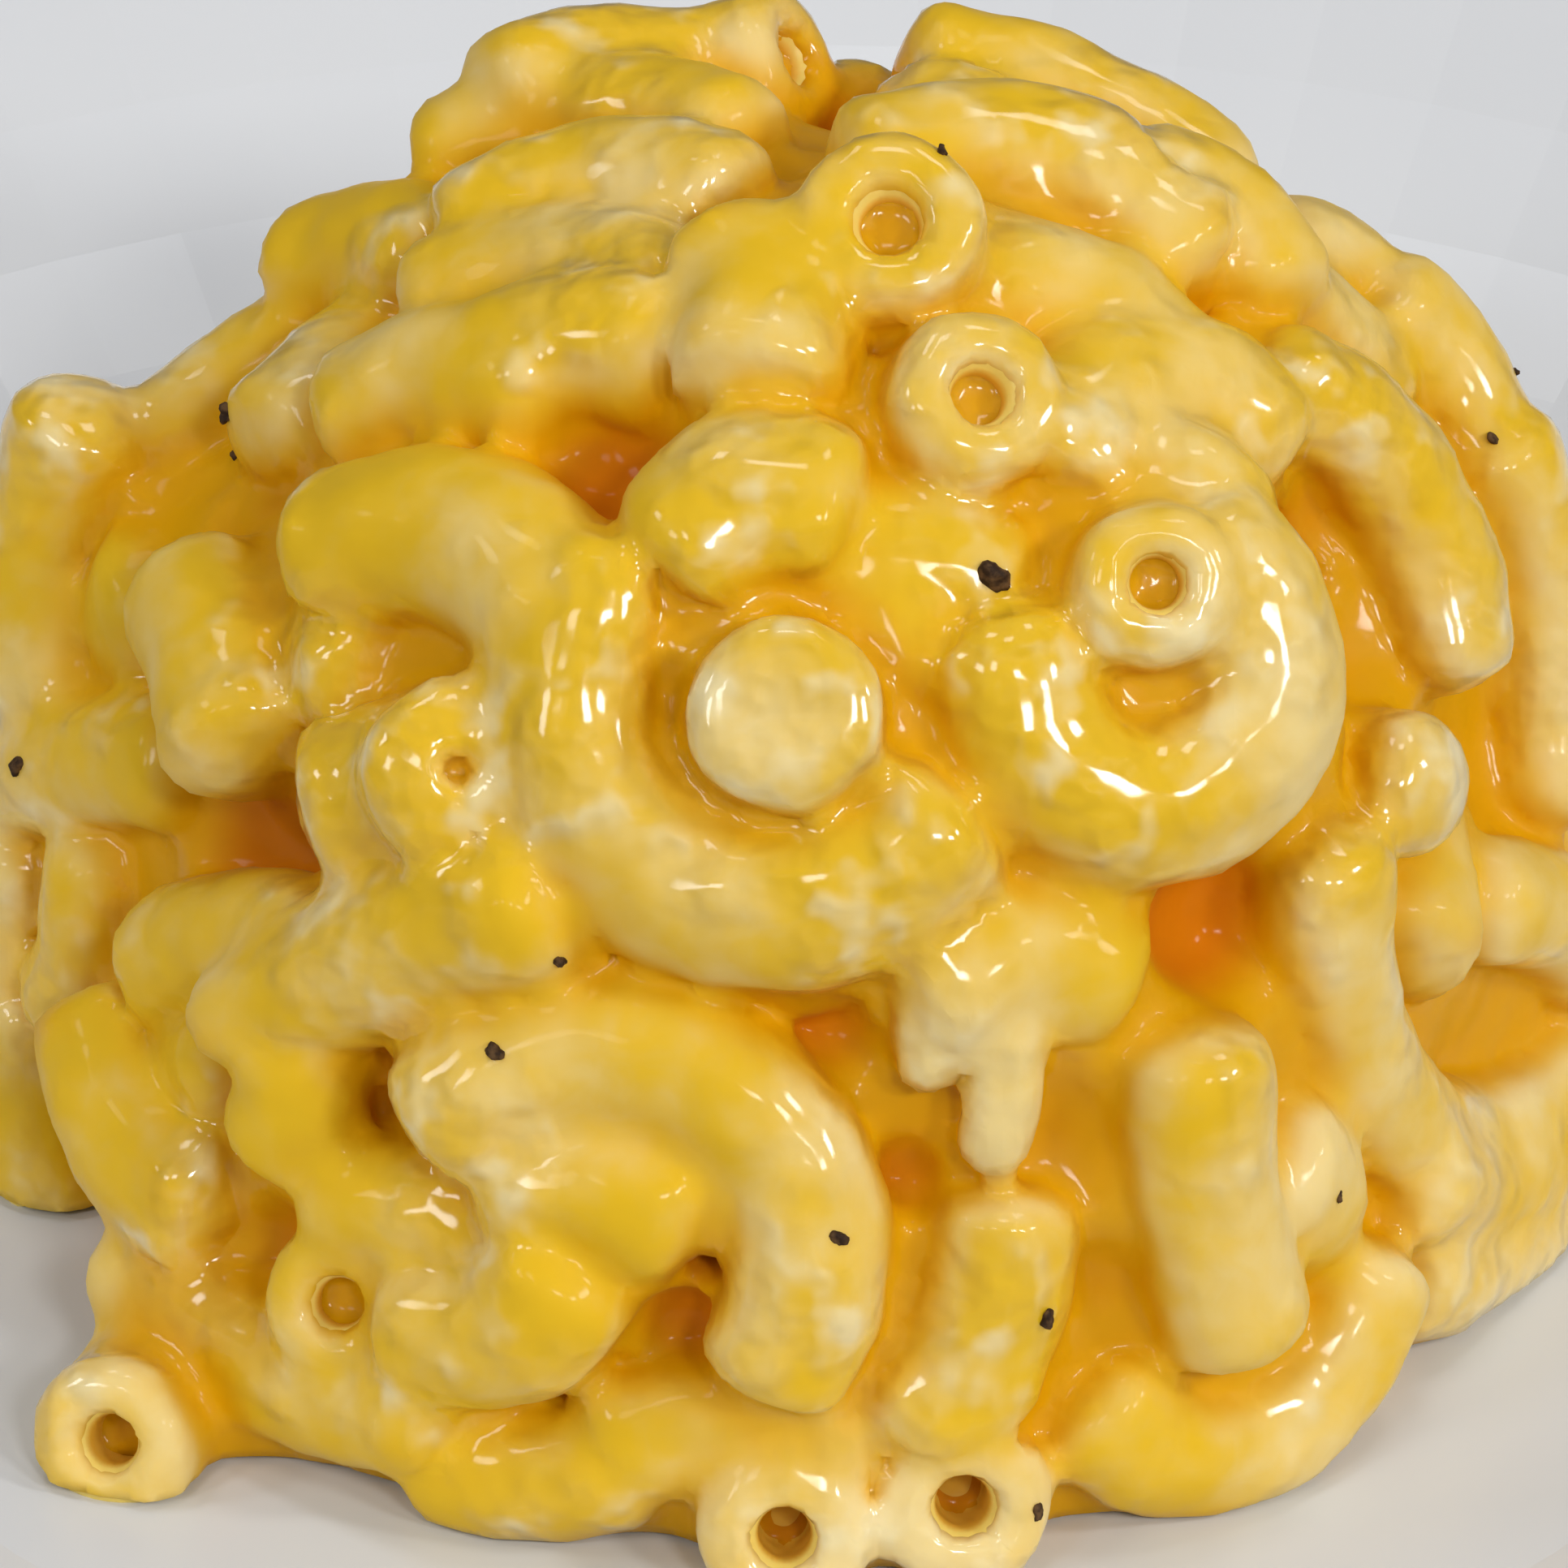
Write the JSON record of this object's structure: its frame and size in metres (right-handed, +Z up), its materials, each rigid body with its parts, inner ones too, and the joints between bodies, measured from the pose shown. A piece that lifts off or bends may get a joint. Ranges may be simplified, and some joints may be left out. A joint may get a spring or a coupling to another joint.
{
  "type": "macaroni in cheese sauce in a bowl",
  "caption": "Mound of sauce-coated elbow macaroni in a shallow white coupe bowl with a foot ring",
  "frame": {"origin": "on the table under the middle of the bowl, at the bottom centre of the bounding box", "axes": "+Z up, the diner sits towards -Y"},
  "size_m": [0.1812, 0.1812, 0.0578],
  "materials": {
    "bowl": "plain white glaze, glossy",
    "macaroni": null
  },
  "bodies": {
    "root": {"bowl": "bowl", "macaroni_pile": "macaroni"}
  },
  "joints": []
}
